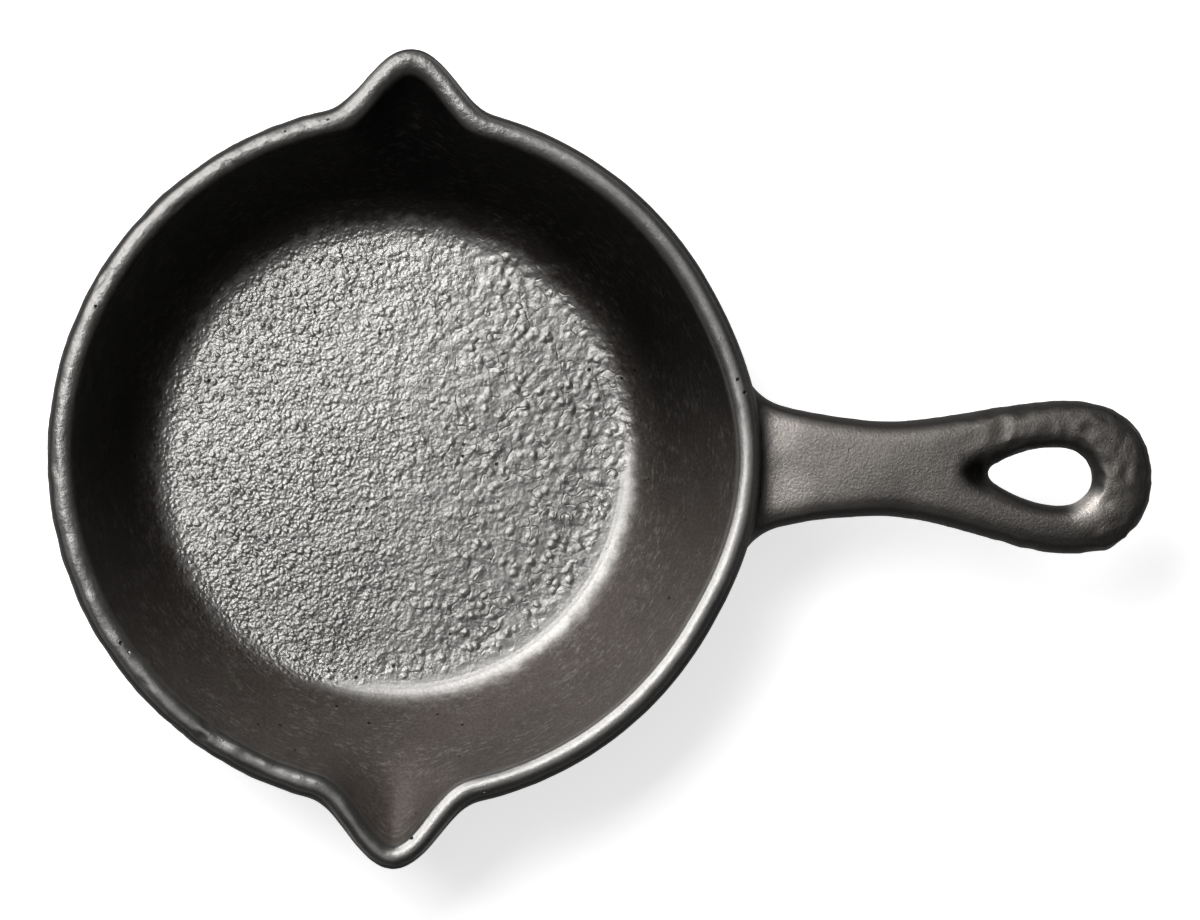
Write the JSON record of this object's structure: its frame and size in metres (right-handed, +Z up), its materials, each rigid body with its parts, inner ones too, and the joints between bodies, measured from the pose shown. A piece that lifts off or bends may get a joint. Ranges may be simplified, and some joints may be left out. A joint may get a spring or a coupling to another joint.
{
  "type": "cast-iron frying pan",
  "caption": "Small cast-iron skillet with a rough seasoned cooking floor, pour spouts in the rim and a short handle with a teardrop hang hole.",
  "frame": {"origin": "centre of the flat underside, on the bowl's axis", "axes": "+Z up along the bowl's axis, +X along the handle, +Y and -Y through the pour spouts"},
  "size_m": [0.2085, 0.1542, 0.0323],
  "materials": {
    "seasoned_iron": "seasoned, satin, pebbled on the cooking floor"
  },
  "bodies": {
    "root": {"pan": "seasoned_iron"}
  },
  "joints": []
}
